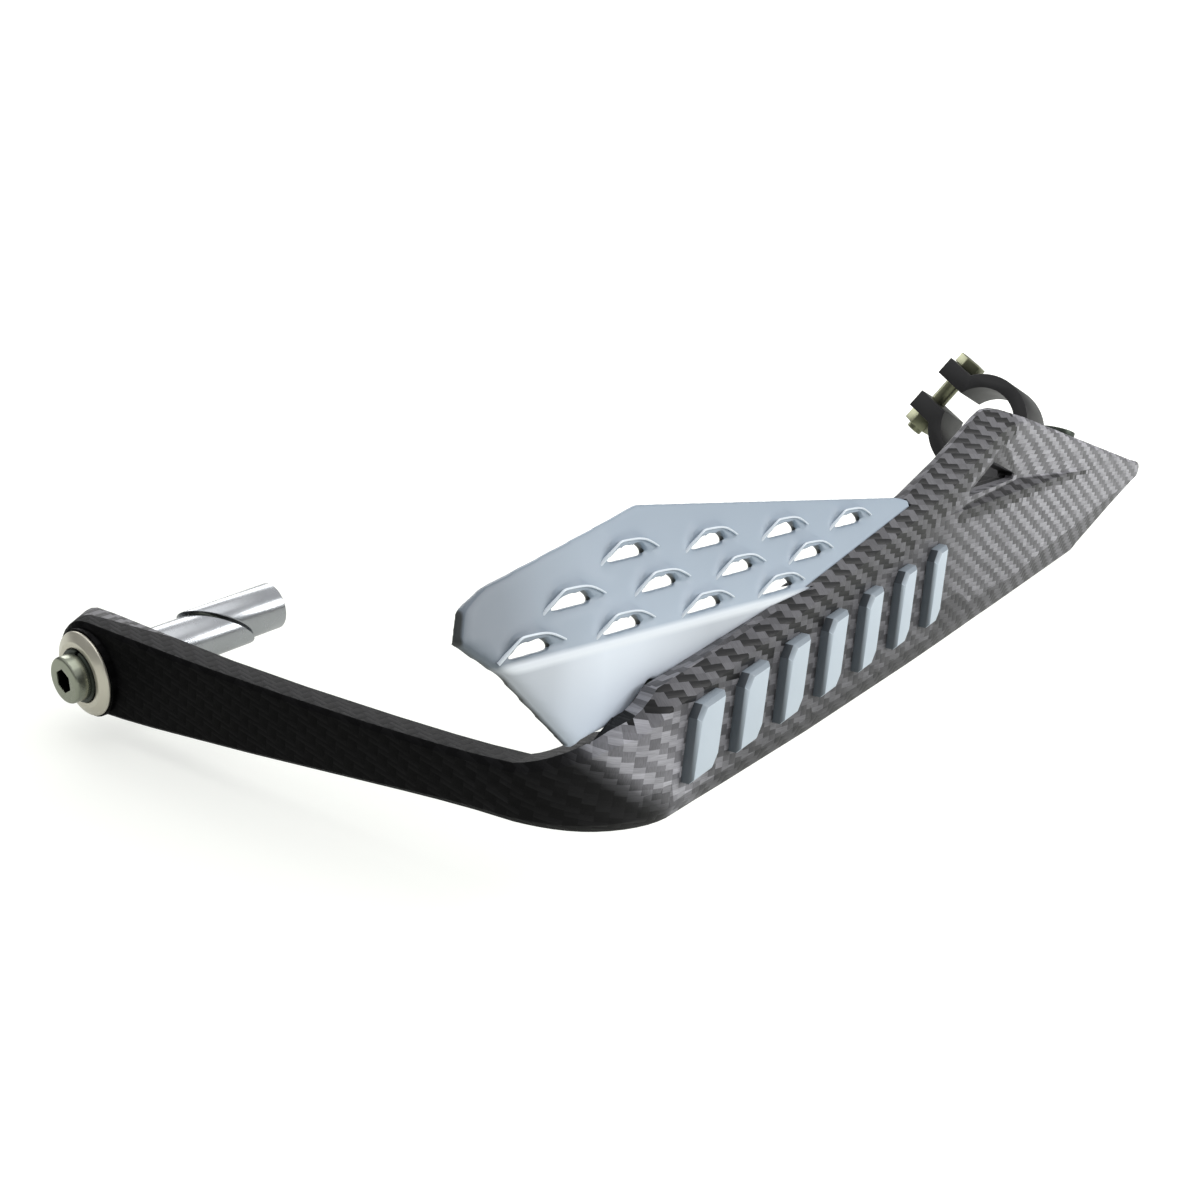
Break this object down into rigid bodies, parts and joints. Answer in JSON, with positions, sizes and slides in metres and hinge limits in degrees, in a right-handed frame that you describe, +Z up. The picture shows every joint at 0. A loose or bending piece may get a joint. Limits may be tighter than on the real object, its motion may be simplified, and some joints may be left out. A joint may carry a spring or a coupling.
{
  "type": "motorcycle hand guard",
  "caption": "Moulded hand guard with a louvred wind deflector, an expander for the handlebar's open end and a split clamp for the bar",
  "frame": {"origin": "the middle of the face on which the handlebar's end seats, on the arm's inner side", "axes": "+X inboard along the handlebar, +Y towards the rider, +Z up; the blade's front face looks towards -Y"},
  "size_m": [0.3964, 0.193, 0.0867],
  "materials": {
    "carbon": "satin woven carbon look",
    "deflector_grey": "smooth, semi-gloss",
    "dark_steel": "phosphated",
    "zinc_steel": "zinc plated",
    "cream_aluminium": "turned",
    "bare_aluminium": "turned",
    "black_anodised": "black anodised",
    "yellow_zinc": "yellow zinc plated",
    "insert_brass": "turned"
  },
  "bodies": {
    "root": {"guard_beam": "carbon", "wind_deflector": "deflector_grey", "raised_bar_1": "deflector_grey", "raised_bar_2": "deflector_grey", "raised_bar_3": "deflector_grey", "raised_bar_4": "deflector_grey", "raised_bar_5": "deflector_grey", "raised_bar_6": "deflector_grey", "raised_bar_7": "deflector_grey", "deflector_screw_1": "dark_steel", "deflector_screw_2": "dark_steel", "deflector_screw_3": "dark_steel", "bar_end_bolt": "zinc_steel", "spring_washer": "dark_steel", "cone_washer": "cream_aluminium", "expander_sleeve": "bare_aluminium", "expander_wedge": "bare_aluminium", "clamp_ring": "black_anodised", "pinch_bolt": "yellow_zinc", "pinch_nut": "yellow_zinc", "clamp_bracket": "black_anodised", "pivot_bolt": "zinc_steel", "pivot_washer": "zinc_steel", "pivot_nut": "zinc_steel", "bracket_screw_1": "zinc_steel", "bracket_screw_2": "zinc_steel", "bracket_washer_1": "zinc_steel", "bracket_washer_2": "zinc_steel", "thread_insert_1": "insert_brass", "thread_insert_2": "insert_brass"}
  },
  "joints": []
}
